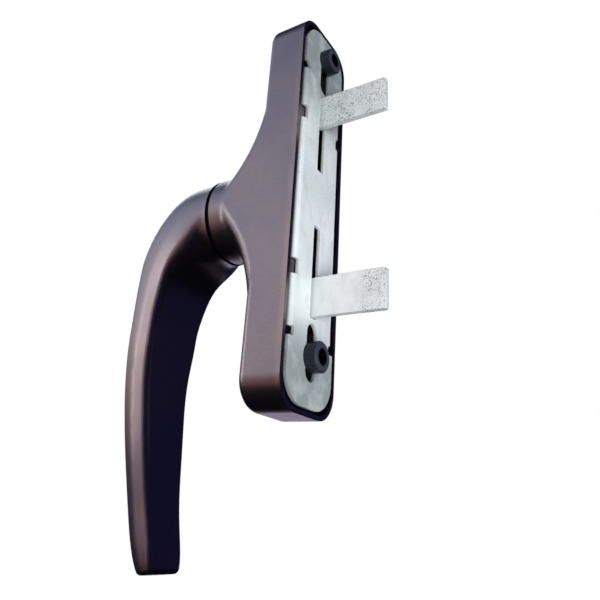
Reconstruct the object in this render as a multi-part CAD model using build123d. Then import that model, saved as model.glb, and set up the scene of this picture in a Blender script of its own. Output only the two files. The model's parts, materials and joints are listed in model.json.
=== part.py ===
from build123d import *
from math import acos, cos, pi, radians, sin, tan
import os

# All sizes in millimetres. X is the width, +Y points into the window,
# +Z is up. The origin lies on the lever's axis at the outer face of the
# back plate, the face that meets the window frame.

# middle of the housing, the plate and the prongs, above the lever's axis
MID_Z = 1.5

# housing: one zinc casting with a round neck that flares out of it
HALF_W = 14.3
HALF_L = 64.0
OUTLINE_R = 8.5
RIM_Y = -0.4
FRONT_Y = -13.8
EDGE_R = 2.4
CREASE_R = 4.5
WALL = 1.35
FRONT_WALL = 2.1
NECK_INSET = 0.4
NECK_R = HALF_W - NECK_INSET
NECK_START_Y = -27.5
NECK_END_Y = -31.3
FLARE_R = 45.0
FLARE_ROOT = 1.5
LUG_BACK_Y = -1.3
LUG_ROOT = 0.4
LUG_PLAY = 0.3

# back plate: bent zinc-plated sheet
SHEET = 1.2
PLATE_HALF_W = 11.8
PLATE_END_GAP = 0.75
PLATE_HALF_L = HALF_L - WALL - PLATE_END_GAP
PLATE_CORNER_R = 8.4
FLANGE_HALF_W = 11.5
FLANGE_DEPTH = 6.0
FLANGE_HALF_L = 42.6
BEND_R = 1.7
RELIEF = 2.6
RELIEF_IN = 9.3
NOTCH_LOW = 23.4
NOTCH_HIGH = 28.0
NOTCH_IN = 9.1
SLOT_W = 3.8
SLOT_LOW = 9.45
SLOT_HIGH = 37.6
SCREW_SLOT_W = 5.4
SCREW_SLOT_L = 15.8
SCREW_SLOT_IN = 16.9
SCREW_SLOT_Z = HALF_L - SCREW_SLOT_IN

# slides: flat steel strips with a rack along one edge and a bent prong
PLAY = 0.15
STRIP_T = 2.0
STRIP_GAP = 0.3
STRIP_OUT = NOTCH_IN - STRIP_GAP
STRIP_END = 4.2
PRONG_T = 2.0
PRONG_H = 11.5
PRONG_TOP = 37.3
PRONG_OUT = 21.8
PRONG_BEND = 1.0
TIP_R = 0.5

# pinion and rack teeth
MODULE = 1.0
TEETH = 10
PRESSURE = radians(25.0)
ADDENDUM = 0.8
DEDENDUM = 1.0
BACKLASH = 0.08
RACK_TEETH = 7
PITCH_R = MODULE * TEETH / 2
PINION_T = 3.0
HUB_R = 7.0
HUB_GAP = 0.2
SPACER_T = 0.6
GEAR_GAP = 0.1
SPACER_R = 3.2

# turning joint in the neck
FIT = 0.05
SPIGOT_R = 8.95
SPIGOT_ROOM = 0.4
RING_ROOM = 0.3
WASHER_T = 0.5
BUSH_R = 11.0
SHOULDER_Y = -16.6
WASHER_SEAT_Y = -15.2
WASHER_SEAT_R = 12.2
SPIGOT_END_Y = -12.2
GROOVE_Y = -12.65
GROOVE_W = 1.1
GROOVE_R = 8.3
RING_T = 1.3
RING_R = 13.1
LEVER_GAP = 0.1
SQUARE = 7.0
SQUARE_SLACK = 0.1
SPINDLE_IN = -6.8
SPINDLE_OUT = -47.0
SPINDLE_EDGE = 0.4
SPRING_T = 0.5
PIN_R = 1.5
PIN_Y = -22.0
PIN_DEPTH = 0.2
CLIP_W = 2.4
CLIP_GAP = 6.0

# clamping screws
SCREW_R = 2.45
SCREW_LEN = 11.0
HEAD_R = 4.25
HEAD_H = 3.5
HEAD_EDGE = 0.45
HEX = 4.0
HEX_DEPTH = 1.8
THREAD_END = 0.5
UPPER_SCREW_UP = 5.0
LOWER_SCREW_DOWN = 1.4
UPPER_SCREW_Z = MID_Z + SCREW_SLOT_Z + UPPER_SCREW_UP
LOWER_SCREW_Z = MID_Z - SCREW_SLOT_Z - LOWER_SCREW_DOWN
NUT_W = 8.0
NUT_T = 4.0
NUT_EDGE = 0.5
NUT_PLAY = 0.2

# guide blocks behind the plate
GUIDE_SIDE_GAP = 0.4
GUIDE_HALF_W = NOTCH_IN - GUIDE_SIDE_GAP
GUIDE_START = 9.2
GUIDE_RAISED = 41.0
GUIDE_END_GAP = 2.25
GUIDE_END = HALF_L - WALL - GUIDE_END_GAP
GUIDE_CORNER_R = 5.0
GUIDE_CEIL_Y = -5.0

# hair's breadth between pieces that are pressed together, and the length
# of a cutter that runs right through
SEAT = 0.02
THROUGH = 60.0

FLOOR_Y = FRONT_Y + FRONT_WALL
STRIP_Y = -SHEET - PLAY
STRIP_BACK_Y = STRIP_Y - STRIP_T
GUIDE_Y = STRIP_BACK_Y - PLAY
GEAR_Y = -SHEET - SPACER_T - GEAR_GAP
HUB_Y = GEAR_Y - PINION_T
LEVER_Y = NECK_END_Y - RING_T - LEVER_GAP

# lever: back point (y, z), front point (y, z), half width, back corner
# radius and height of the straight side, from the neck to the tip
LEVER_SECTIONS = [
    (LEVER_Y, -NECK_R, LEVER_Y, NECK_R, NECK_R, NECK_R - 0.6, NECK_R),
    (-36.8, -NECK_R - 0.7, -40.6, NECK_R - 0.4, NECK_R - 0.1, NECK_R - 3.3, NECK_R - 1.5),
    (-40.9, -16.0, -51.5, 10.7, NECK_R - 0.4, 6.4, 10.0),
    (-44.9, -18.6, -59.4, 3.4, NECK_R - 1.1, 4.0, 7.6),
    (-47.3, -22.8, -64.6, -6.1, NECK_R - 1.8, 2.9, 6.2),
    (-49.0, -29.2, -66.2, -20.5, 11.4, 2.4, 5.4),
    (-49.9, -38.5, -66.2, -34.5, 10.9, 2.2, 5.0),
    (-50.2, -48.5, -65.5, -47.5, 10.2, 2.1, 4.8),
    (-48.7, -63.5, -62.4, -65.0, 9.1, 2.0, 4.4),
    (-46.2, -78.0, -58.5, -80.0, 7.9, 2.0, 4.1),
    (-43.4, -90.5, -54.7, -93.0, 6.9, 2.0, 3.8),
    (-41.3, -98.6, -51.3, -100.6, 6.5, 2.0, 3.6),
    (-40.7, -102.6, -48.9, -103.9, 5.8, 2.0, 3.2),
]
LEVER_TIP_R = 1.5


def at_y(y):
    # sketch plane facing the room: its x is X, its y is Z
    return Plane((0, y, 0), x_dir=(1, 0, 0), z_dir=(0, -1, 0))


def plate_of(outline, y, depth):
    return extrude(at_y(y) * outline, amount=depth)


def rod(radius, y_back, y_front, x=0, z=0):
    return plate_of(Pos(x, z) * Circle(radius), y_back, y_back - y_front)


def square_rod(side, y_back, y_front):
    return plate_of(Rectangle(side, side), y_back, y_back - y_front)


def block(x0, x1, y0, y1, z0, z1):
    size = (x1 - x0, y1 - y0, z1 - z0)
    middle = ((x0 + x1) / 2, (y0 + y1) / 2, (z0 + z1) / 2)
    return Pos(*middle) * Box(*size)


def half_turn(shape):
    return Rot(0, 180, 0) * shape


def is_crease(edge):
    # edges between the flare and the flat sides that cut it
    middle = edge @ 0.5
    return abs(abs(middle.X) - HALF_W) < 0.01 and middle.Y < FRONT_Y


def make_flare():
    # neck with an elliptical sweep down to the housing's front
    long_axis = FLARE_R - NECK_R
    short_axis = FRONT_Y - NECK_START_Y
    centre = (NECK_START_Y, FLARE_R)
    sweep_arc = EllipticalCenterArc(
        centre, short_axis, long_axis, -90, arc_size=90
    )
    inside = FRONT_Y + FLARE_ROOT
    profile = make_face([
        sweep_arc,
        Line((FRONT_Y, FLARE_R), (inside, FLARE_R)),
        Line((inside, FLARE_R), (inside, 0)),
        Line((inside, 0), (NECK_END_Y, 0)),
        Line((NECK_END_Y, 0), (NECK_END_Y, NECK_R)),
        Line((NECK_END_Y, NECK_R), (NECK_START_Y, NECK_R)),
    ])
    turned = revolve(Plane.YZ * profile, axis=Axis.Y)
    flare = turned & Box(2 * HALF_W, 4 * HALF_L, 4 * HALF_L)
    return fillet(flare.edges().filter_by(is_crease), CREASE_R)


def make_housing():
    outline = RectangleRounded(2 * HALF_W, 2 * HALF_L, OUTLINE_R)
    body = plate_of(Pos(0, MID_Z) * outline, RIM_Y, RIM_Y - FRONT_Y)
    body = fillet(body.edges().group_by(Axis.Y)[0], EDGE_R)
    body += make_flare()
    hollow = RectangleRounded(
        2 * (HALF_W - WALL), 2 * (HALF_L - WALL), OUTLINE_R - WALL
    )
    body -= plate_of(Pos(0, MID_Z) * hollow, RIM_Y, RIM_Y - FLOOR_Y)
    body -= rod(WASHER_SEAT_R, FLOOR_Y, WASHER_SEAT_Y)
    body -= rod(SPIGOT_R + SPIGOT_ROOM, FLOOR_Y, NECK_END_Y)
    body -= rod(BUSH_R, SHOULDER_Y, NECK_END_Y)
    low = NOTCH_LOW + LUG_PLAY
    high = NOTCH_HIGH - LUG_PLAY
    lug = block(
        NOTCH_IN + LUG_PLAY, HALF_W - LUG_ROOT, FLOOR_Y - LUG_ROOT, LUG_BACK_Y,
        low, high,
    )
    lugs = lug + mirror(lug, Plane.YZ)
    return body + Pos(0, 0, MID_Z) * (lugs + mirror(lugs, Plane.XY))


def make_back_plate():
    outer = Pos(0, -FLANGE_DEPTH / 2) * Rectangle(
        2 * FLANGE_HALF_W, FLANGE_DEPTH
    )
    outer = fillet(outer.vertices().group_by(Axis.Y)[-1], BEND_R)
    inner_h = FLANGE_DEPTH - SHEET
    inner = Pos(0, -SHEET - inner_h / 2) * Rectangle(
        2 * (FLANGE_HALF_W - SHEET), inner_h
    )
    inner = fillet(inner.vertices().group_by(Axis.Y)[-1], BEND_R - SHEET)
    channel = extrude(outer - inner, amount=FLANGE_HALF_L, both=True)
    outline = RectangleRounded(
        2 * PLATE_HALF_W, 2 * PLATE_HALF_L, PLATE_CORNER_R
    )
    sheet = plate_of(outline, 0, SHEET)
    # the channel joins the flat ends only between the relief holes
    half = FLANGE_HALF_L + RELIEF / 2
    middle = block(-HALF_W, HALF_W, -SHEET - 1, 1, -half, half)
    core = plate_of(Rectangle(2 * RELIEF_IN, 2 * half + RELIEF), 0, SHEET)
    plate = (sheet - middle) + core + channel
    relief_x = RELIEF_IN + RELIEF / 2
    cut = rod(RELIEF / 2, 1, -THROUGH, relief_x, half)
    cut += block(
        relief_x, HALF_W, -THROUGH, 1, FLANGE_HALF_L, FLANGE_HALF_L + RELIEF
    )
    cut += block(NOTCH_IN, HALF_W, -THROUGH, 1, NOTCH_LOW, NOTCH_HIGH)
    cut += mirror(cut, Plane.YZ)
    cut += block(-SLOT_W / 2, SLOT_W / 2, -THROUGH, 1, SLOT_LOW, SLOT_HIGH)
    oblong = SlotOverall(SCREW_SLOT_L, SCREW_SLOT_W, rotation=90)
    cut += plate_of(Pos(0, SCREW_SLOT_Z) * oblong, 1, THROUGH)
    plate -= cut + mirror(cut, Plane.XY)
    return Pos(0, 0, MID_Z) * plate


def rack_points():
    # straight-sided rack teeth on the inner edge, from top to bottom
    points = []
    slope = tan(PRESSURE)
    half = MODULE * pi / 4 - BACKLASH / 2
    root_half = half + DEDENDUM * slope
    tip_half = half - ADDENDUM * slope
    for k in range(RACK_TEETH - 2, -2, -1):
        z = (k + 0.5) * MODULE * pi
        points.append((PITCH_R + DEDENDUM, z + root_half))
        points.append((PITCH_R - ADDENDUM, z + tip_half))
        points.append((PITCH_R - ADDENDUM, z - tip_half))
        points.append((PITCH_R + DEDENDUM, z - root_half))
    return points


def make_slide(top):
    # the prong's far edge stands at z = top when the lever hangs down
    low = top - PRONG_H
    bend_x = PRONG_T / 2 + PRONG_BEND
    root = PITCH_R + DEDENDUM
    edge = [
        (root, -STRIP_END),
        (STRIP_OUT, -STRIP_END),
        (STRIP_OUT, top),
        (bend_x, top),
        (bend_x, low),
        (root, low),
    ]
    outline = make_face(Polyline(*edge, *rack_points(), close=True))
    strip = plate_of(outline, STRIP_Y, STRIP_T)
    inner = PRONG_T / 2
    straight = STRIP_Y + PRONG_BEND
    turn = PRONG_BEND + PRONG_T
    bent = make_face([
        JernArc((bend_x, STRIP_Y), (-1, 0), PRONG_BEND, -90),
        Line((inner, straight), (inner, PRONG_OUT)),
        Line((inner, PRONG_OUT), (-inner, PRONG_OUT)),
        Line((-inner, PRONG_OUT), (-inner, straight)),
        JernArc((-inner, straight), (0, -1), turn, 90),
        Line((bend_x, STRIP_BACK_Y), (bend_x, STRIP_Y)),
    ])
    prong = Pos(0, 0, low) * extrude(bent, amount=PRONG_H)
    tip = prong.edges().filter_by(Axis.X).group_by(Axis.Y)[-1]
    return strip + fillet(tip, TIP_R)


def tooth_half_angle(radius):
    base_r = PITCH_R * cos(PRESSURE)
    at_r = acos(min(1.0, base_r / radius))
    half = (MODULE * pi / 2 - BACKLASH) / (2 * PITCH_R)
    return half + (tan(PRESSURE) - PRESSURE) - (tan(at_r) - at_r)


def make_pinion():
    root_r = PITCH_R - DEDENDUM
    base_r = PITCH_R * cos(PRESSURE)
    tip_r = PITCH_R + ADDENDUM
    steps = [(tip_r - base_r) * i / 4 + base_r for i in range(5)]
    side = [(r, tooth_half_angle(r)) for r in steps]
    side.insert(0, (root_r - HUB_GAP, tooth_half_angle(base_r)))
    turned = side + [(r, -a) for r, a in reversed(side)]
    corners = [(r * cos(a), r * sin(a)) for r, a in turned]
    tooth = plate_of(make_face(Polyline(*corners, close=True)), GEAR_Y, PINION_T)
    gear = rod(root_r, GEAR_Y, HUB_Y)
    for i in range(TEETH):
        gear += Rot(0, 360 / TEETH * i, 0) * tooth
    gear += rod(HUB_R, HUB_Y, SPIGOT_END_Y + HUB_GAP)
    return gear - square_rod(SQUARE + SQUARE_SLACK, SPINDLE_IN + HUB_GAP, -THROUGH)


def lever_section(row):
    back_y, back_z, front_y, front_z, half_w, corner, side = row
    back = Vector(0, back_y, back_z)
    across = Vector(0, front_y, front_z) - back
    depth = across.length
    plane = Plane(back, x_dir=(1, 0, 0), z_dir=Vector(1, 0, 0).cross(across))
    flat = half_w - corner
    outline = make_face([
        Line((-flat, 0), (flat, 0)),
        CenterArc((flat, corner), corner, -90, 90),
        Line((half_w, corner), (half_w, side)),
        EllipticalCenterArc((0, side), half_w, depth - side, 0, arc_size=180),
        Line((-half_w, side), (-half_w, corner)),
        CenterArc((-flat, corner), corner, 180, 90),
    ])
    return plane * outline


def make_lever():
    grip = loft([lever_section(row) for row in LEVER_SECTIONS])
    tip_face = grip.faces().sort_by(Axis.Z)[0]
    grip = fillet(tip_face.edges(), LEVER_TIP_R)
    spigot = rod(SPIGOT_R, SPIGOT_END_Y, LEVER_Y - 1)
    spigot -= rod(SPIGOT_R + 1, GROOVE_Y, GROOVE_Y - GROOVE_W) - rod(
        GROOVE_R, GROOVE_Y + 1, GROOVE_Y - GROOVE_W - 1
    )
    lever = grip + spigot
    lever -= square_rod(SQUARE + SQUARE_SLACK, 0, SPINDLE_OUT - SQUARE_SLACK)
    return lever - cross_pin(SEAT, THROUGH)


def cross_pin(extra, length):
    return Pos(0, PIN_Y, 0) * Rot(0, 90, 0) * Cylinder(PIN_R + extra, length)


def make_spindle():
    bar = square_rod(SQUARE, SPINDLE_IN, SPINDLE_OUT)
    bar = chamfer(bar.edges().filter_by(Axis.Y), SPINDLE_EDGE)
    return bar - cross_pin(SEAT, THROUGH)


def make_disc_spring():
    # coned ring between the thrust washer and the circlip
    low_y = WASHER_SEAT_Y + WASHER_T + FIT
    high_y = GROOVE_Y - GROOVE_W - SEAT
    inner_r = SPIGOT_R + 2 * FIT
    outer_r = WASHER_SEAT_R - 3 * RING_ROOM
    profile = make_face(Polyline(
        (high_y, inner_r),
        (low_y + SPRING_T, outer_r),
        (low_y, outer_r),
        (high_y - SPRING_T, inner_r),
        close=True,
    ))
    return revolve(Plane.YZ * profile, axis=Axis.Y)


def make_circlip():
    back = GROOVE_Y - FIT
    front = GROOVE_Y - GROOVE_W + FIT
    ring = rod(GROOVE_R + CLIP_W, back, front) - rod(GROOVE_R + SEAT, 0, -THROUGH)
    gap = CLIP_GAP / 2
    return ring - block(-gap, gap, -THROUGH, 0, 0, 2 * GROOVE_R)


def make_ring(radius, y_back, thickness):
    # flat ring that the lever's spigot turns in
    ring = rod(radius, y_back, y_back - thickness)
    return ring - rod(SPIGOT_R + RING_ROOM, 0, -THROUGH)


def make_bush():
    bush = rod(BUSH_R - SEAT, SHOULDER_Y - SEAT, NECK_END_Y)
    return bush - rod(SPIGOT_R + FIT, 0, -THROUGH)


def make_screw(z):
    head = rod(HEAD_R, HEAD_H, 0)
    head = chamfer(head.edges().group_by(Axis.Y)[-1], HEAD_EDGE)
    socket = RegularPolygon(HEX / 2, 6, major_radius=False, rotation=30)
    head -= plate_of(socket, HEAD_H, HEX_DEPTH)
    shank = rod(SCREW_R, 0, -SCREW_LEN)
    shank = chamfer(shank.edges().group_by(Axis.Y)[0], THREAD_END)
    return Pos(0, 0, z) * (head + shank)


def make_nut(z):
    nut = plate_of(Rectangle(NUT_W, NUT_W), GUIDE_CEIL_Y - FIT, NUT_T)
    nut = chamfer(nut.edges().filter_by(Axis.Y), NUT_EDGE)
    return Pos(0, 0, z) * (nut - rod(SCREW_R + FIT, 0, -THROUGH))


def make_guide():
    w = GUIDE_HALF_W
    floor = FLOOR_Y + SEAT
    base = block(-w, w, floor, GUIDE_Y, GUIDE_START, GUIDE_END)
    base += block(-w, w, floor, -SHEET - SEAT, GUIDE_RAISED, GUIDE_END)
    corners = base.edges().filter_by(Axis.Y).group_by(Axis.Z)[-1]
    base = fillet(corners, GUIDE_CORNER_R)
    # pocket for the sliding nut, open to the front, and the shank's slot
    wide = NUT_W + NUT_PLAY
    pocket = Rectangle(wide, SCREW_SLOT_L - SCREW_SLOT_W + wide)
    slot = SlotOverall(SCREW_SLOT_L, SCREW_SLOT_W + NUT_PLAY, rotation=90)
    base -= plate_of(Pos(0, SCREW_SLOT_Z) * pocket, GUIDE_CEIL_Y, THROUGH)
    base -= plate_of(Pos(0, SCREW_SLOT_Z) * slot, 0, THROUGH)
    return base


def main():
    os.makedirs("parts", exist_ok=True)
    guide = make_guide()
    middle = Pos(0, 0, MID_Z)
    pieces = {
        "housing": make_housing(),
        "back_plate": make_back_plate(),
        "neck_bush": make_bush(),
        "joint_ring": make_ring(RING_R, NECK_END_Y, RING_T),
        "thrust_washer": make_ring(
            WASHER_SEAT_R - RING_ROOM, WASHER_SEAT_Y + WASHER_T, WASHER_T
        ),
        "pinion_spacer": rod(SPACER_R, -SHEET, -SHEET - SPACER_T),
        "upper_guide": middle * guide,
        "lower_guide": middle * half_turn(guide),
        "upper_screw": make_screw(UPPER_SCREW_Z),
        "lower_screw": make_screw(LOWER_SCREW_Z),
        "upper_nut": make_nut(UPPER_SCREW_Z),
        "lower_nut": make_nut(LOWER_SCREW_Z),
        "lever": make_lever(),
        "spindle": make_spindle(),
        "lever_pin": cross_pin(0, 2 * (SPIGOT_R - PIN_DEPTH)),
        "pinion": make_pinion(),
        "disc_spring": make_disc_spring(),
        "circlip": make_circlip(),
        "upper_slide": make_slide(PRONG_TOP + MID_Z),
        "lower_slide": half_turn(make_slide(PRONG_TOP - MID_Z)),
    }
    for name, piece in pieces.items():
        export_step(piece, f"parts/{name}.step")
        print(name, round(piece.volume, 1), len(piece.solids()))


main()
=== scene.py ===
# %% [markdown]
# A window handle, dressed over its packed construction. The frame gives every
# piece of the handle at its real size, in metres: +Y points into the window,
# +Z is up, and the origin is on the axis that the lever turns about. This
# script gives those pieces their surfaces, adds the fine form that the eye
# expects of them, and sets up the camera, the lamps and the floor.

import json
import math

import bmesh
import bpy
import numpy
from mathutils import Matrix, Vector
from mathutils.bvhtree import BVHTree

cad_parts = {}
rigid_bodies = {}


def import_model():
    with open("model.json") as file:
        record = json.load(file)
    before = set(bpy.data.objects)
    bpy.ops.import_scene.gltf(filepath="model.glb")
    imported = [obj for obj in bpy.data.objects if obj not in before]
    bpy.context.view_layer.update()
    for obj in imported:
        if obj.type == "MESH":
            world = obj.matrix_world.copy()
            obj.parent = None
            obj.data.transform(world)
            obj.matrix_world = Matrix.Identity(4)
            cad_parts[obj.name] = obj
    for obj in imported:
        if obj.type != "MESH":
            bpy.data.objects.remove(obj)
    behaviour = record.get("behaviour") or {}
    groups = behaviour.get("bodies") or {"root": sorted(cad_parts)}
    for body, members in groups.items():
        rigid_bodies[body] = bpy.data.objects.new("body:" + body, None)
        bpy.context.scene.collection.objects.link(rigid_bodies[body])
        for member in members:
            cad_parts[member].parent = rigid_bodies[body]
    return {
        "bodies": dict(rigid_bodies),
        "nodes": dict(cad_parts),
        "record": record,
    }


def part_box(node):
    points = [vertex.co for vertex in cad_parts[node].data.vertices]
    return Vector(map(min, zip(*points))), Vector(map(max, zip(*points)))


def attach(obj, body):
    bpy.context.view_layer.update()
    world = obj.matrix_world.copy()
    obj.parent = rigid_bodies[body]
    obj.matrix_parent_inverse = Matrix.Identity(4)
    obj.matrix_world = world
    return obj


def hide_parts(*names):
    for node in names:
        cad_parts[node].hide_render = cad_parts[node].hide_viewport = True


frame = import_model()
MM = 0.001
NODES = frame["nodes"]
SLOT_OF = {row["node"]: row["material_slot"] for row in frame["record"]["subparts"]}
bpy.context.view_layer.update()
print("pieces in the frame:", len(NODES))

# %% [markdown]
# The camera comes first, because every finish is judged through it. The
# photograph was taken from close by, behind and below the handle, so near
# things look much larger than far ones. The place, the turn and the focal
# length were worked out from the known distance between the prongs. The
# picture was cropped afterwards, which the lens shift repeats.

# %% Camera
CAMERA_PLACE = Vector((136.12, 79.01, -86.54)) * MM
CAMERA_AZIMUTH = 126.055
CAMERA_ELEVATION = -24.471
CAMERA_ROLL = 5.329
FRAME_PIXELS = 600
FOCAL_PIXELS = 594.08
CENTRE_PIXEL = (260.67, 244.66)
SENSOR_MM = 36.0
NEAREST_SEEN = 0.01
FARTHEST_SEEN = 20


def camera_axes(azimuth, elevation, roll):
    # right, up and back directions of a camera that looks at the origin
    a, e, t = (math.radians(v) for v in (azimuth, elevation, roll))
    back = Vector((math.sin(a) * math.cos(e), -math.cos(a) * math.cos(e), math.sin(e)))
    right = Vector((math.cos(a), math.sin(a), 0))
    up = back.cross(right)
    turned_right = right * math.cos(t) + up * math.sin(t)
    turned_up = up * math.cos(t) - right * math.sin(t)
    return turned_right, turned_up, back


def make_camera():
    data = bpy.data.cameras.new("photo_camera")
    data.sensor_width = SENSOR_MM
    data.lens = FOCAL_PIXELS / FRAME_PIXELS * SENSOR_MM
    data.shift_x = 0.5 - CENTRE_PIXEL[0] / FRAME_PIXELS
    data.shift_y = CENTRE_PIXEL[1] / FRAME_PIXELS - 0.5
    data.clip_start = NEAREST_SEEN
    data.clip_end = FARTHEST_SEEN
    camera = bpy.data.objects.new("photo_camera", data)
    axes = camera_axes(CAMERA_AZIMUTH, CAMERA_ELEVATION, CAMERA_ROLL)
    camera.matrix_world = Matrix.Translation(CAMERA_PLACE) @ Matrix(axes).transposed().to_4x4()
    bpy.context.scene.collection.objects.link(camera)
    bpy.context.scene.camera = camera
    return camera


camera = make_camera()
print("camera lens:", round(camera.data.lens, 2), "mm")
print("camera distance:", round(CAMERA_PLACE.length / MM), "mm")

# %% [markdown]
# A material is a small network of nodes. One function turns a colour as it is
# written on screen into the linear values that Blender works with, and one
# function adds a node, sets its inputs and links it. Two patterns do for most
# of the handle. Spots are noise of a real size in millimetres, so a grain
# keeps its scale on every piece, and a band rises along one axis of the
# handle, for wear that lies at a known place. The colour is then built up as
# a finish is, from a ground with thin layers over it.

# %% Helpers for materials
NOISE_ROUGHNESS = 0.6


def linear(hex_colour):
    # sRGB hex to linear red, green, blue and full alpha
    channels = [int(hex_colour[i:i + 2], 16) / 255 for i in (1, 3, 5)]
    low = [c / 12.92 for c in channels]
    high = [((c + 0.055) / 1.055) ** 2.4 for c in channels]
    return [lo if c <= 0.04045 else hi for c, lo, hi in zip(channels, low, high)] + [1.0]


def add_node(tree, kind, inputs=None, **settings):
    # inputs: socket name or number to a value, or to another node's output
    node = tree.nodes.new(kind)
    for name, value in settings.items():
        setattr(node, name, value)
    for key, value in (inputs or {}).items():
        if isinstance(value, bpy.types.NodeSocket):
            tree.links.new(value, node.inputs[key])
        else:
            node.inputs[key].default_value = value
    return node


def new_material(name):
    # a material with an empty tree
    material = bpy.data.materials.new(name)
    material.use_nodes = True
    material.node_tree.nodes.clear()
    return material, material.node_tree


def spots(tree, size_mm, detail, start, end, low=0.0, high=1.0):
    # noise of the given spot size: under start it is low, over end it is high
    place = add_node(tree, "ShaderNodeTexCoord").outputs["Object"]
    scaled = add_node(tree, "ShaderNodeMapping", {
        "Vector": place, "Scale": [1 / (size * MM) for size in size_mm],
    })
    noise = add_node(tree, "ShaderNodeTexNoise", {
        "Vector": scaled.outputs[0], "Scale": 1.0, "Detail": detail, "Roughness": NOISE_ROUGHNESS,
    })
    return add_node(tree, "ShaderNodeMapRange", {
        "Value": noise.outputs[0], "From Min": start, "From Max": end, "To Min": low, "To Max": high,
    }).outputs[0]


def band(tree, axis, start_mm, end_mm, high=1.0):
    # rises from 0 to high along one axis of the handle
    place = add_node(tree, "ShaderNodeTexCoord").outputs["Object"]
    axes = add_node(tree, "ShaderNodeSeparateXYZ", {0: place})
    return add_node(tree, "ShaderNodeMapRange", {
        "Value": axes.outputs[axis], "From Min": start_mm * MM, "From Max": end_mm * MM, "To Max": high,
    }, interpolation_type="SMOOTHSTEP").outputs[0]


def layered_colour(tree, ground, layers):
    # each layer is a hex colour and one or more shares from 0 to 1, whose
    # product says how well the layer covers what lies under it
    colour = linear(ground)
    for hex_colour, cover, *more_shares in layers:
        for share in more_shares:
            product = add_node(tree, "ShaderNodeMath", {0: cover, 1: share}, operation="MULTIPLY")
            cover = product.outputs[0]
        colour = add_node(tree, "ShaderNodeMix", {
            0: cover, 6: colour, 7: linear(hex_colour),
        }, data_type="RGBA").outputs[2]
    return colour


def finish(tree, surface, relief=None, relief_mm=0.0):
    # surface: the shader's sockets by name; relief: a pattern whose high
    # places stand up by relief_mm, or lie that deep where it is negative
    if relief:
        bump = add_node(tree, "ShaderNodeBump", {
            "Height": relief, "Strength": 1.0, "Distance": relief_mm * MM,
        })
        surface = {**surface, "Normal": bump.outputs[0]}
    shader = add_node(tree, "ShaderNodeBsdfPrincipled", surface)
    add_node(tree, "ShaderNodeOutputMaterial", {"Surface": shader.outputs[0]})


print("white is", [round(c, 2) for c in linear("#ffffff")])

# %% [markdown]
# The housing and the lever are zinc die castings. They were brushed, bronzed
# with a dark stain and lacquered, so the metal shows through a thin violet
# brown film: a satin metal with soft, broad reflections. On the housing the
# brush ran across the sides, and left hair-fine lines. The stain pooled a
# little, in patches some centimetres wide, and the colour is paler and warmer
# in patches along the rim. On the lever the brush ran lengthwise. The hairs are drawn a
# few tenths of a millimetre wide, coarser than real ones, so that they show.

# %% Bronzed zinc
BRONZE_COOL = "#7f7a86"
BRONZE_WARM = "#8d8487"
BRONZE_PALE = "#a8978f"
BRONZE_DEEP = "#6a6370"
LACQUER_ROUGHNESS = 0.34
ACROSS_THE_SIDES_MM = (0.4, 2.6, 0.3)
LENGTHWISE_MM = (0.4, 0.4, 5.0)
RIM_MM = (-3.0, -0.8)


def bronzed_zinc(name, brush_mm, pale_rim):
    # brush_mm: how long the brush's marks are along X, Y and Z
    material, tree = new_material(name)
    layers = [
        (BRONZE_WARM, spots(tree, (30, 30, 34), detail=3, start=0.38, end=0.62)),
        (BRONZE_PALE, spots(tree, brush_mm, detail=5, start=0.5, end=0.8, high=0.3)),
        (BRONZE_DEEP, spots(tree, brush_mm, detail=5, start=0.5, end=0.25, high=0.25)),
    ]
    if pale_rim:
        # the colour turns paler and warmer, in patches, along the rim
        rim = band(tree, "Y", *RIM_MM, high=0.5)
        layers.append((BRONZE_PALE, rim, spots(tree, (4, 4, 9), detail=4, start=0.3, end=0.6)))
    finish(tree, {
        "Base Color": layered_colour(tree, BRONZE_COOL, layers),
        "Metallic": 1.0,
        "Roughness": spots(
            tree, brush_mm, detail=4, start=0.3, end=0.7,
            low=LACQUER_ROUGHNESS - 0.05, high=LACQUER_ROUGHNESS + 0.08,
        ),
    }, relief=spots(tree, brush_mm, detail=5, start=0.2, end=0.8), relief_mm=0.008)
    return material


HOUSING_BRONZE = bronzed_zinc("bronzed_zinc_brushed_across", ACROSS_THE_SIDES_MM, pale_rim=True)
LEVER_BRONZE = bronzed_zinc("bronzed_zinc_brushed_lengthwise", LENGTHWISE_MM, pale_rim=False)
print("bronzed castings:", HOUSING_BRONZE.name, LEVER_BRONZE.name)

# %% [markdown]
# The back plate, the slides and the nuts are cold-rolled steel with a coat of
# zinc about a hundredth of a millimetre thick. Passivated zinc is pale, a
# little green or blue, and its crystals and stains make it mottled. Towards
# both ends, where the screw heads sit, the plate is painted darker in mottled
# patches: painted shade and reflection of the dark heads. The prongs rub in the
# window, so fine dark specks lie on the whole upper prong and on the tip of
# the lower one, and white ones all over the slides. The specks are drawn as
# coarse as the photograph shows them. Behind the plate's face everything is
# painted nearly black: painted shade in the gaps and recesses.

# %% Zinc-plated steel
ZINC_GREENISH = "#d2dad6"
ZINC_PALE = "#e8eaea"
ZINC_SHADED_ENDS = "#8a9392"
# colour of the darker ends: painted shade and reflection of the screw heads
ZINC_STAINED = "#a9a794"
DARK_SPECKS = "#4d524d"
WHITE_SPECKS = "#f1f4f1"
# painted shade colour for everything behind the plate's face
SHADE_BEHIND_PLATE = "#191817"
SHADED_ENDS_MM = ((14, 46), (-33, -50))
UPPER_HALF_MM = (-6, 6)
PRONG_TIP_MM = (13, 17)
BEHIND_PLATE_MM = (-0.5, -1.5)


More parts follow.
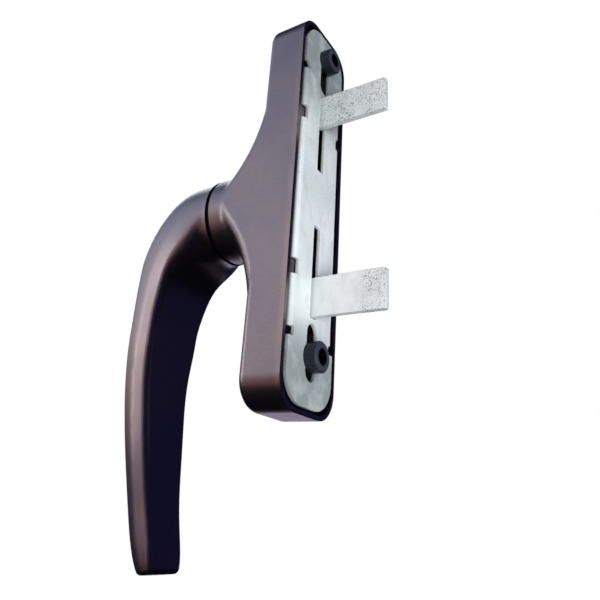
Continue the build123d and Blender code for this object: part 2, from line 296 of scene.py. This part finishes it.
def zinc_plated(name, speck_share, stain_share, end_shade_share):
    material, tree = new_material(name)
    layers = [(ZINC_PALE, spots(tree, (14, 14, 20), detail=4, start=0.35, end=0.65))]
    # painted shade and reflection of the screw heads: darker, mottled towards both ends
    for start_mm, end_mm in SHADED_ENDS_MM:
        end_shade = band(tree, "Z", start_mm, end_mm, high=end_shade_share)
        layers.append((ZINC_SHADED_ENDS, end_shade, spots(tree, (9, 9, 9), detail=4, start=0.15, end=0.5)))
    rubbed = add_node(tree, "ShaderNodeMath", {
        0: band(tree, "Z", *UPPER_HALF_MM), 1: band(tree, "Y", *PRONG_TIP_MM, high=0.9),
    }, operation="MAXIMUM").outputs[0]
    speck_patches = spots(tree, (6, 6, 6), detail=3, start=0.36, end=0.6, low=0.3, high=speck_share)
    dark_specks = spots(tree, (0.42, 0.42, 0.42), detail=3, start=0.53, end=0.62)
    white_specks = spots(tree, (0.3, 0.3, 0.3), detail=3, start=0.58, end=0.68, high=speck_share)
    layers += [
        (ZINC_STAINED, spots(tree, (5, 5, 7), detail=4, start=0.52, end=0.72, high=stain_share)),
        (DARK_SPECKS, rubbed, speck_patches, dark_specks),
        (WHITE_SPECKS, white_specks),
        # painted shade: nearly black behind the plate's face, in the gaps and recesses
        (SHADE_BEHIND_PLATE, band(tree, "Y", *BEHIND_PLATE_MM, high=0.94)),
    ]
    finish(tree, {
        "Base Color": layered_colour(tree, ZINC_GREENISH, layers),
        "Metallic": 0.2,
        "Roughness": spots(tree, (3, 3, 5), detail=4, start=0.3, end=0.7, low=0.38, high=0.52),
    }, relief=spots(tree, (0.4, 0.4, 0.4), detail=4, start=0.3, end=0.7), relief_mm=0.012)
    return material


PLATE_ZINC = zinc_plated(
    "zinc_plated_steel_sheet", speck_share=0.3, stain_share=0.3, end_shade_share=0.95,
)
SLIDE_ZINC = zinc_plated(
    "zinc_plated_steel_strip", speck_share=1.0, stain_share=0.25, end_shade_share=0.1,
)
print("zinc plating:", PLATE_ZINC.name, SLIDE_ZINC.name)

# %% [markdown]
# The two clamping screws are heat-treated steel with black oxide, a finish
# that is hardly a coat at all: it keeps the turning marks of the steel, three
# tenths of a millimetre apart here, and is wiped with oil, so it looks
# blue-black and half glossy. The socket for the wrench, in a screw's head, is
# painted nearly black as painted shade in the hole, and the face round it is
# painted paler as a painted highlight.
# Both are drawn by their distance from the screw's axis. The frame says where
# the two axes are, and the distance is measured to the nearer one.

# %% Black oxide of the clamping screws
SCREWS = ("upper_screw", "lower_screw")
OXIDE_BLUE_BLACK = "#272b31"
OXIDE_TURNED = "#3d424a"
# paler face round the socket: painted highlight
OXIDE_PAINTED_HIGHLIGHT = "#5c636e"
# nearly black: painted shade in the socket
SOCKET_PAINTED_SHADE = "#050506"
SOCKET_EDGE_MM = (2.25, 2.4)
FACE_EDGE_MM = (3.8, 4.2)


def screw_axis_z(name):
    low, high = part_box(name)
    return (low[2] + high[2]) / 2


def distance_from_screw_axis(tree):
    upper_z, lower_z = (screw_axis_z(name) for name in SCREWS)
    coordinates = add_node(tree, "ShaderNodeTexCoord").outputs["Object"]
    place = add_node(tree, "ShaderNodeSeparateXYZ", {0: coordinates})
    middle = add_node(tree, "ShaderNodeMath", {
        0: place.outputs["Z"], 1: (upper_z + lower_z) / 2,
    }, operation="SUBTRACT").outputs[0]
    apart = add_node(tree, "ShaderNodeMath", {0: middle}, operation="ABSOLUTE").outputs[0]
    along = add_node(tree, "ShaderNodeMath", {
        0: apart, 1: (upper_z - lower_z) / 2,
    }, operation="SUBTRACT").outputs[0]
    arm = add_node(tree, "ShaderNodeCombineXYZ", {"X": place.outputs["X"], "Z": along}).outputs[0]
    return add_node(tree, "ShaderNodeVectorMath", {0: arm}, operation="LENGTH").outputs["Value"]


def black_oxide():
    material, tree = new_material("black_oxide_steel")
    radius = distance_from_screw_axis(tree)
    in_socket, round_socket, on_face = (
        add_node(tree, "ShaderNodeMapRange", {
            "Value": radius, "From Min": none_mm * MM, "From Max": full_mm * MM,
        }).outputs[0]
        for none_mm, full_mm in (SOCKET_EDGE_MM[::-1], SOCKET_EDGE_MM, FACE_EDGE_MM[::-1])
    )
    finish(tree, {
        "Base Color": layered_colour(tree, OXIDE_BLUE_BLACK, [
            (OXIDE_TURNED, spots(tree, (0.3, 3.0, 0.3), detail=4, start=0.35, end=0.7)),
            # painted shade: nearly black within the socket's radius, in the socket and along the shank
            (SOCKET_PAINTED_SHADE, in_socket),
            # painted highlight: the head's face round the socket is painted paler
            (OXIDE_PAINTED_HIGHLIGHT, on_face, round_socket),
        ]),
        "Metallic": 0.7,
        "Roughness": spots(tree, (1.2, 1.2, 1.2), detail=3, start=0.35, end=0.65, low=0.33, high=0.5),
    })
    return material


BLACK = black_oxide()
print("clamping screws:", BLACK.name, "with axes at", [round(screw_axis_z(s) / MM, 1) for s in SCREWS])

# %% [markdown]
# The disc spring, the circlip and the cross pin are spring steel, blued by
# their tempering, with faint violet clouds. The pinion is pressed from powder
# and sintered, which leaves it matt grey and full of pores. Real pores are
# too fine to show, so they are drawn a quarter of a millimetre wide.

# %% Inner steels


def blued_spring_steel():
    material, tree = new_material("blued_spring_steel")
    heat = spots(tree, (6, 6, 6), detail=2, start=0.35, end=0.65)
    finish(tree, {
        "Base Color": layered_colour(tree, "#4a5266", [("#6a6470", heat)]),
        "Metallic": 1.0,
        "Roughness": 0.34,
    })
    return material


def sintered_steel():
    material, tree = new_material("sintered_steel")
    pores = spots(tree, (0.25, 0.25, 0.25), detail=3, start=0.55, end=0.7)
    finish(tree, {
        "Base Color": layered_colour(tree, "#8f9092", [("#55565a", pores)]),
        "Metallic": 0.9,
        "Roughness": 0.55,
    }, relief=pores, relief_mm=-0.02)
    return material


SPRING = blued_spring_steel()
SINTERED = sintered_steel()
print("inner steels:", SPRING.name, SINTERED.name)

# %% [markdown]
# The plastics are moulded. Black nylon with glass fibres is matt, and its
# skin shows the fibres as a faint grain, drawn coarser here than the fibres
# are. Acetal is slippery, white and a little waxy, so light passes a short
# way into it.

# %% Moulded plastics


def glass_filled_nylon():
    material, tree = new_material("black_glass_filled_nylon")
    fibres = spots(tree, (0.15, 1.2, 0.15), detail=4, start=0.4, end=0.75)
    finish(tree, {
        "Base Color": layered_colour(tree, "#0e0e11", [("#232327", fibres)]),
        "Roughness": 0.58,
    }, relief=fibres, relief_mm=0.01)
    return material


def natural_acetal():
    material, tree = new_material("natural_acetal")
    cloud = spots(tree, (8, 8, 8), detail=2, start=0.35, end=0.65)
    finish(tree, {
        "Base Color": layered_colour(tree, "#e6e3d6", [("#f0eee6", cloud)]),
        "Roughness": 0.42,
        "Subsurface Weight": 0.1,
        "Subsurface Scale": 0.5 * MM,
    })
    return material


NYLON = glass_filled_nylon()
ACETAL = natural_acetal()
print("plastics:", NYLON.name, ACETAL.name)

# %% [markdown]
# Every piece of the frame gets the finish of its own material slot. Only the
# two castings and the two kinds of zinc-plated piece differ within a slot.

# %% Finishes on the pieces
FINISH_OF_SLOT = {
    "bronzed_casting": HOUSING_BRONZE,
    "zinc_plated_steel": PLATE_ZINC,
    "black_oxide_steel": BLACK,
    "sintered_steel": SINTERED,
    "spring_steel": SPRING,
    "acetal": ACETAL,
    "black_nylon": NYLON,
}
FINISH_OF_NODE = {"lever": LEVER_BRONZE, "upper_slide": SLIDE_ZINC, "lower_slide": SLIDE_ZINC}
for name, node in NODES.items():
    node.data.materials.clear()
    node.data.materials.append(FINISH_OF_NODE.get(name, FINISH_OF_SLOT[SLOT_OF[name]]))
print("finished nodes:", len(NODES))

# %% [markdown]
# The real housing is one casting, and its sides run smoothly into the flare
# of the neck. In the construction the flare starts a hair in front of the
# side face, which leaves a groove two tenths of a millimetre deep. Grazing
# light would draw it as a hard line. The copy of the housing is therefore cut
# across near the ends of the groove, the groove's points between the cuts are
# moved out to the side face, and the face is closed over them.

# %% Housing with even sides
JOIN_DISTANCE = 0.002 * MM
GROOVE_FRONT = -12.4 * MM
GROOVE_BACK = -11.2 * MM
GROOVE_DEPTH = 0.5 * MM
GROOVE_HALF_LENGTH = 27.7 * MM
GROOVE_RUN_OUT = 1.5 * MM
GROOVE_JOIN = 0.02 * MM
HOUSING_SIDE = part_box("housing")[1][0]


def fill_side_groove(mesh):
    for half_length in (GROOVE_HALF_LENGTH, GROOVE_HALF_LENGTH + GROOVE_RUN_OUT):
        for sign in (-1, 1):
            everything = mesh.verts[:] + mesh.edges[:] + mesh.faces[:]
            cut = Vector((0, 0, sign * half_length))
            bmesh.ops.bisect_plane(mesh, geom=everything, plane_co=cut, plane_no=(0, 0, 1))
    for vertex in mesh.verts:
        near_side = abs(vertex.co.x) > HOUSING_SIDE - GROOVE_DEPTH
        in_groove = near_side and GROOVE_FRONT < vertex.co.y < GROOVE_BACK
        if in_groove and abs(vertex.co.z) < GROOVE_HALF_LENGTH + JOIN_DISTANCE:
            vertex.co.x = math.copysign(HOUSING_SIDE, vertex.co.x)
    bmesh.ops.remove_doubles(mesh, verts=mesh.verts, dist=GROOVE_JOIN)
    for sign in (-1, 1):
        side = [
            face for face in mesh.faces
            if all(abs(v.co.x - sign * HOUSING_SIDE) < JOIN_DISTANCE for v in face.verts)
        ]
        bmesh.ops.dissolve_faces(mesh, faces=side, use_verts=False)


print("sides of the housing at mm:", round(HOUSING_SIDE / MM, 2))

# %% [markdown]
# The front of the real lever runs from the elbow to the tip in one sweep. The
# constructed one is laid through a few sections and has a shallow waist
# between two of them. Rays that are shot at the lever measure where its front
# and its back lie at each millimetre of height, a smooth curve is fitted to
# the front, and the front half of the lever is moved to that curve. The move
# fades out towards both ends, so nothing shifts at the elbow or the tip.

# %% Lever with an even front
FRONT_BOTTOM = -72
FRONT_TOP = -10
FRONT_FADE = 10
SWEEP_DEGREE = 4
BEFORE_LEVER = -1.0


def first_face_y(surface, start_y, z):
    # where a ray along +Y, in the handle's middle plane, first meets a face
    return surface.ray_cast(Vector((0, start_y, z)), Vector((0, 1, 0)))[0].y


def even_front(mesh):
    surface = BVHTree.FromBMesh(mesh)
    heights = [height * MM for height in range(FRONT_BOTTOM, FRONT_TOP + 1)]
    front = [first_face_y(surface, BEFORE_LEVER, z) for z in heights]
    behind = [first_face_y(surface, y + MM, z) for y, z in zip(front, heights)]
    sweep = numpy.polyval(numpy.polyfit(heights, front, SWEEP_DEGREE), heights)
    largest = 0.0
    for vertex in mesh.verts:
        inside = min(heights[-1] - vertex.co.z, vertex.co.z - heights[0]) / (FRONT_FADE * MM)
        if inside > 0:
            fade = min(1.0, inside) ** 2 * (3 - 2 * min(1.0, inside))
            now, back, wanted = (
                numpy.interp(vertex.co.z, heights, line) for line in (front, behind, sweep)
            )
            centre = (now + back) / 2
            share = max(0.0, min(1.0, (centre - vertex.co.y) / (centre - now)))
            move = (wanted - now) * fade * share
            vertex.co.y += move
            largest = max(largest, abs(move))
    print("front of the lever evened by up to mm:", round(largest / MM, 2))


print("evened between heights in mm:", FRONT_BOTTOM, FRONT_TOP)

# %% [markdown]
# The construction's meshes are loose flat triangles, and a real edge is never
# perfectly sharp. Each piece that shows is therefore copied, its triangles
# are joined, its curved faces are shaded smooth, and its sharp edges get a
# rounding of a tenth of a millimetre or two, which catches the light as a
# thin line. The lever has hardly a sharp edge, so it gets none. Weighted
# normals keep the large flat faces flat.

# %% Joined copies with rounded edges
FLAT_ANGLE = math.radians(0.4)
SHARP_ANGLE = math.radians(32)
ROUNDED_ANGLE = math.radians(40)
ROUNDING_STEPS = 3
EDGE_MM = {
    "housing": 0.22, "lever": 0.0, "back_plate": 0.18,
    "upper_slide": 0.15, "lower_slide": 0.15, "joint_ring": 0.1,
}


def body_name(node):
    return next(body for body, empty in frame["bodies"].items() if node.parent is empty)


def joined_mesh(name):
    mesh = bmesh.new()
    mesh.from_mesh(NODES[name].data)
    bmesh.ops.remove_doubles(mesh, verts=mesh.verts, dist=JOIN_DISTANCE)
    if name == "housing":
        fill_side_groove(mesh)
    if name == "lever":
        even_front(mesh)
    bmesh.ops.dissolve_limit(mesh, angle_limit=FLAT_ANGLE, verts=mesh.verts, edges=mesh.edges)
    for face in mesh.faces:
        face.smooth = True
    for edge in mesh.edges:
        edge.smooth = edge.calc_face_angle(0) < SHARP_ANGLE
    return mesh


def finished_piece(name, mesh, edge_mm):
    data = bpy.data.meshes.new(name + "_surface")
    mesh.to_mesh(data)
    mesh.free()
    data.materials.append(NODES[name].data.materials[0])
    piece = bpy.data.objects.new(name + "_surface", data)
    bpy.context.scene.collection.objects.link(piece)
    if edge_mm:
        rounding = piece.modifiers.new("rounded_edges", "BEVEL")
        rounding.width = edge_mm * MM
        rounding.segments = ROUNDING_STEPS
        rounding.limit_method = "ANGLE"
        rounding.angle_limit = ROUNDED_ANGLE
        rounding.use_clamp_overlap = True
        rounding.harden_normals = True
    weighted = piece.modifiers.new("flat_faces", "WEIGHTED_NORMAL")
    weighted.keep_sharp = True
    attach(piece, body_name(NODES[name]))
    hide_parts(name)
    return piece


for name, edge_mm in EDGE_MM.items():
    piece = finished_piece(name, joined_mesh(name), edge_mm)
    print(piece.name, "faces:", len(piece.data.polygons))

# %% [markdown]
# The clamping screws are M5 socket heads. A real shank has a rolled thread,
# which the construction leaves out as too fine. Here the shank is drawn in to
# the thread's core, and Geometry Nodes sweep a three-cornered ridge along a
# spiral round it. The pitch, the number of turns and the radii are inputs, so
# the same tree serves both screws.

# %% Thread of the clamping screws
THREAD_PITCH = 0.8
THREAD_R = 2.44
THREAD_DEPTH = 0.42
THREAD_START = -0.3
THREAD_TURNS = 12.5
SPIRAL_STEPS = 28
RIDGE_CORNERS = 3
SHANK_START = -0.01
SCREW_EDGE_MM = 0.12


def thread_tree(material):
    tree = bpy.data.node_groups.new("rolled_thread", "GeometryNodeTree")
    tree.interface.new_socket("Geometry", in_out="OUTPUT", socket_type="NodeSocketGeometry")
    for label in ("Pitch", "Turns", "Outer Radius", "Depth"):
        tree.interface.new_socket(label, in_out="INPUT", socket_type="NodeSocketFloat")
    given = add_node(tree, "NodeGroupInput")
    middle = add_node(tree, "ShaderNodeMath", {
        0: given.outputs["Outer Radius"], 1: given.outputs["Depth"],
    }, operation="SUBTRACT")
    height = add_node(tree, "ShaderNodeMath", {
        0: given.outputs["Pitch"], 1: given.outputs["Turns"],
    }, operation="MULTIPLY")
    spiral = add_node(tree, "GeometryNodeCurveSpiral", {
        "Resolution": SPIRAL_STEPS, "Rotations": given.outputs["Turns"],
        "Start Radius": middle.outputs[0], "End Radius": middle.outputs[0], "Height": height.outputs[0],
    })
    ridge = add_node(tree, "GeometryNodeCurvePrimitiveCircle", {
        "Resolution": RIDGE_CORNERS, "Radius": given.outputs["Depth"],
    })
    swept = add_node(tree, "GeometryNodeCurveToMesh", {
        "Curve": spiral.outputs[0], "Profile Curve": ridge.outputs[0], "Fill Caps": True,
    })
    real = add_node(tree, "GeometryNodeRealizeInstances", {0: swept.outputs[0]})
    painted = add_node(tree, "GeometryNodeSetMaterial", {
        "Geometry": real.outputs[0], "Material": material,
    })
    add_node(tree, "NodeGroupOutput", {0: painted.outputs[0]})
    return tree


def thread_mesh(tree):
    # the ridge as a plain mesh, along +Z from the origin
    empty_mesh = bpy.data.meshes.new("thread_base")
    maker = bpy.data.objects.new("thread_maker", empty_mesh)
    bpy.context.scene.collection.objects.link(maker)
    nodes = maker.modifiers.new("thread", "NODES")
    nodes.node_group = tree
    values = {
        "Pitch": THREAD_PITCH * MM, "Turns": THREAD_TURNS,
        "Outer Radius": THREAD_R * MM, "Depth": THREAD_DEPTH * MM,
    }
    for item in tree.interface.items_tree:
        if item.in_out == "INPUT":
            nodes[item.identifier] = values[item.name]
    evaluated = maker.evaluated_get(bpy.context.evaluated_depsgraph_get())
    mesh = bpy.data.meshes.new_from_object(evaluated)
    bpy.data.objects.remove(maker)
    return mesh


def threaded_screw(name, thread):
    mesh = joined_mesh(name)
    axis_z = screw_axis_z(name)
    core = (THREAD_R - THREAD_DEPTH) * MM
    for vertex in mesh.verts:
        arm = Vector((vertex.co.x, 0, vertex.co.z - axis_z))
        if vertex.co.y < SHANK_START * MM and arm.length > core:
            arm *= core / arm.length
            vertex.co = Vector((arm.x, vertex.co.y, arm.z + axis_z))
    start = Vector((0, THREAD_START * MM, axis_z))
    turned = Matrix.Translation(start) @ Matrix.Rotation(math.radians(90), 4, "X")
    ridge = thread.copy()
    ridge.transform(turned)
    mesh.from_mesh(ridge)
    bmesh.ops.recalc_face_normals(mesh, faces=mesh.faces)
    return finished_piece(name, mesh, SCREW_EDGE_MM)


thread = thread_mesh(thread_tree(BLACK))
print("ridge of the thread, faces:", len(thread.polygons))
for name in SCREWS:
    print(threaded_screw(name, thread).name)

# %% [markdown]
# Metal shows what stands round it, so the light is made first of all for the
# reflections. The photograph's bronze is bright where it mirrors the room's
# side, and nearly black where it mirrors the window's side. So the
# surroundings have one bright sector here and are dark elsewhere. The sector
# turns lilac where it fades, warm towards the ground and bluish high up. The
# camera itself sees plain white.

# %% Surroundings
BRIGHT_SIDE = Vector((0.57, -0.82, 0.0))
BRIGHT = 1.06
DARK = 0.085
SECTOR_EDGE = (0.38, 0.84)
HORIZON = (-0.12, 0.3)
HIGH_UP = (0.33, 0.62)
FADING_SHARE = 0.2
GLOW_LOW = "#ffbd9c"
GLOW_LEVEL = "#fbfbff"
GLOW_HIGH = "#d2e2ff"
GLOW_FADING = "#8e88ee"


def make_world():
    world = bpy.data.worlds.new("studio")
    world.use_nodes = True
    tree = world.node_tree
    tree.nodes.clear()
    direction = add_node(tree, "ShaderNodeTexCoord").outputs["Generated"]
    towards = add_node(tree, "ShaderNodeVectorMath", {
        0: direction, 1: BRIGHT_SIDE,
    }, operation="DOT_PRODUCT").outputs["Value"]
    height = add_node(tree, "ShaderNodeSeparateXYZ", {0: direction}).outputs["Z"]
    facing, above, high = (
        add_node(tree, "ShaderNodeMapRange", {
            "Value": value, "From Min": none, "From Max": full,
        }, interpolation_type="SMOOTHSTEP").outputs[0]
        for value, (none, full) in ((towards, SECTOR_EDGE), (height, HORIZON), (height, HIGH_UP))
    )
    share = add_node(tree, "ShaderNodeMath", {0: facing, 1: above}, operation="MULTIPLY").outputs[0]
    strength = add_node(tree, "ShaderNodeMapRange", {
        "Value": share, "To Min": DARK, "To Max": BRIGHT,
    }).outputs[0]
    fading = add_node(tree, "ShaderNodeMapRange", {
        "Value": share, "From Max": FADING_SHARE, "To Min": 1.0, "To Max": 0.0,
    }).outputs[0]
    glow = layered_colour(tree, GLOW_LOW, [
        (GLOW_LEVEL, above), (GLOW_HIGH, high), (GLOW_FADING, fading),
    ])
    path = add_node(tree, "ShaderNodeLightPath")
    room = add_node(tree, "ShaderNodeBackground", {"Color": glow, "Strength": strength})
    white = add_node(tree, "ShaderNodeBackground", {"Color": linear("#ffffff"), "Strength": 1.0})
    mixed = add_node(tree, "ShaderNodeMixShader", {
        0: path.outputs["Is Camera Ray"], 1: room.outputs[0], 2: white.outputs[0],
    })
    add_node(tree, "ShaderNodeOutputWorld", {"Surface": mixed.outputs[0]})
    bpy.context.scene.world = world
    return world


print("surroundings:", make_world().name, "from", DARK, "to", BRIGHT)

# %% [markdown]
# Soft lamps add what the surroundings can't. The streak is the bright stripe
# down the sides of lever and housing, a small warm lamp is mirrored in the
# lever's rounded crease, and a low one warms what faces the ground. Two pale
# ones stand on the far side, for the top of the elbow and the housing's lower
# end. The strongest stands near the camera and lights the zinc, which
# scatters more light than the lacquered bronze does. It is hidden from
# mirrored rays, or the bronze's dark underside would show it.

# %% Lamps
LAMP_DISTANCE = 0.65


def make_lamp(name, direction, width, height, radiance, colour, mirrored=True):
    # an upright lamp of the given radiance that faces the handle
    data = bpy.data.lights.new(name, "AREA")
    data.shape = "RECTANGLE"
    data.size = width
    data.size_y = height
    data.energy = radiance * math.pi * width * height
    data.color = linear(colour)[:3]
    lamp = bpy.data.objects.new(name, data)
    lamp.location = Vector(direction).normalized() * LAMP_DISTANCE
    lamp.rotation_mode = "QUATERNION"
    lamp.rotation_quaternion = (-lamp.location).to_track_quat("-Z", "Y")
    lamp.visible_camera = False
    lamp.visible_glossy = mirrored
    bpy.context.scene.collection.objects.link(lamp)


make_lamp("streak", (0.57, -0.82, 0.07), width=0.12, height=0.3, radiance=4.0, colour="#fff4ea")
make_lamp("crease", (0.95, -0.24, 0.36), width=0.14, height=0.16, radiance=3.0, colour="#ffd2b8")
make_lamp("warm_side", (0.82, -0.5, -0.27), width=0.26, height=0.26, radiance=0.55, colour="#ffb096")
make_lamp("upper_room", (-0.55, -0.6, 0.66), width=0.42, height=0.42, radiance=2.1, colour="#eaf0ff")
make_lamp("end_side", (-0.78, -0.56, -0.26), width=0.26, height=0.22, radiance=1.0, colour="#f4e8ff")
make_lamp(
    "window_side", (0.5, 0.8, -0.33), width=0.45, height=0.45, radiance=12.0, colour="#f8fcff",
    mirrored=False,
)

# %% [markdown]
# The floor is a wide pale disc well below the handle, which is fixed to a
# window and stands on nothing. The camera sees it nearly white, like the
# surroundings, with a soft shadow under the handle. The metal mirrors it
# dark, because the photographed bronze has nothing bright below it.

# %% Floor
FLOOR_Z = -0.4
FLOOR_R = 1.6
FLOOR_CORNERS = 96
FLOOR_PAINT = "#9c9c9f"
FLOOR_MIRRORED = "#141318"
FLOOR_ROUGHNESS = 0.9
SHADOW_R = 0.2
PALENESS_IN_SHADOW = 0.85


def pale_paint():
    material, tree = new_material("pale_floor_paint")
    path = add_node(tree, "ShaderNodeLightPath")
    paint = add_node(tree, "ShaderNodeBsdfPrincipled", {
        "Base Color": layered_colour(tree, FLOOR_PAINT, [
            (FLOOR_MIRRORED, path.outputs["Is Glossy Ray"]),
        ]),
        "Roughness": FLOOR_ROUGHNESS,
    })
    place = add_node(tree, "ShaderNodeTexCoord").outputs["Object"]
    away = add_node(tree, "ShaderNodeVectorMath", {0: place}, operation="LENGTH").outputs["Value"]
    paleness = add_node(tree, "ShaderNodeMapRange", {
        "Value": away, "From Min": SHADOW_R, "From Max": 2 * SHADOW_R,
        "To Min": PALENESS_IN_SHADOW, "To Max": 1.0,
    }, interpolation_type="SMOOTHSTEP").outputs[0]
    share = add_node(tree, "ShaderNodeMath", {
        0: paleness, 1: path.outputs["Is Camera Ray"],
    }, operation="MULTIPLY").outputs[0]
    white = add_node(tree, "ShaderNodeEmission", {"Color": linear("#ffffff"), "Strength": 1.0})
    mixed = add_node(tree, "ShaderNodeMixShader", {0: share, 1: paint.outputs[0], 2: white.outputs[0]})
    add_node(tree, "ShaderNodeOutputMaterial", {"Surface": mixed.outputs[0]})
    return material


def make_floor():
    mesh = bmesh.new()
    bmesh.ops.create_circle(mesh, cap_ends=True, segments=FLOOR_CORNERS, radius=FLOOR_R)
    bmesh.ops.translate(mesh, verts=mesh.verts, vec=(0, 0, FLOOR_Z))
    data = bpy.data.meshes.new("floor")
    mesh.to_mesh(data)
    mesh.free()
    data.materials.append(pale_paint())
    floor = bpy.data.objects.new("floor", data)
    bpy.context.scene.collection.objects.link(floor)
    return floor


print("floor:", make_floor().name, "at", FLOOR_Z, "m")
bpy.context.scene.view_settings.view_transform = "Standard"
